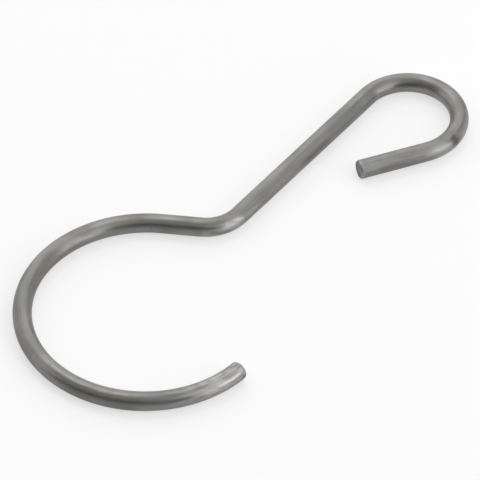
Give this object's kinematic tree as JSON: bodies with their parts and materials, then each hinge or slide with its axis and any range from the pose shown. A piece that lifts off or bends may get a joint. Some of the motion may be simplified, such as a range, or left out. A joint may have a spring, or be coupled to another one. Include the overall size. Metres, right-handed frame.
{
  "type": "spring hook",
  "caption": "Spring hook bent from one round wire: a wide open bow that springs over a tube, a straight shank, and a small open eye at the other end.",
  "frame": {"origin": "axis of the tube that the bow springs over, at the middle of the wire's thickness", "axes": "+Z along the tube's axis, up off the surface that the hook lies on; +X along the straight shank, from the bow towards the eye; +Y towards the closed side of the bow"},
  "size_m": [0.0878, 0.0406, 0.003],
  "materials": {
    "spring_wire": "satin, bare drawn stainless spring wire"
  },
  "bodies": {
    "root": {"spring_hook": "spring_wire"}
  },
  "joints": []
}
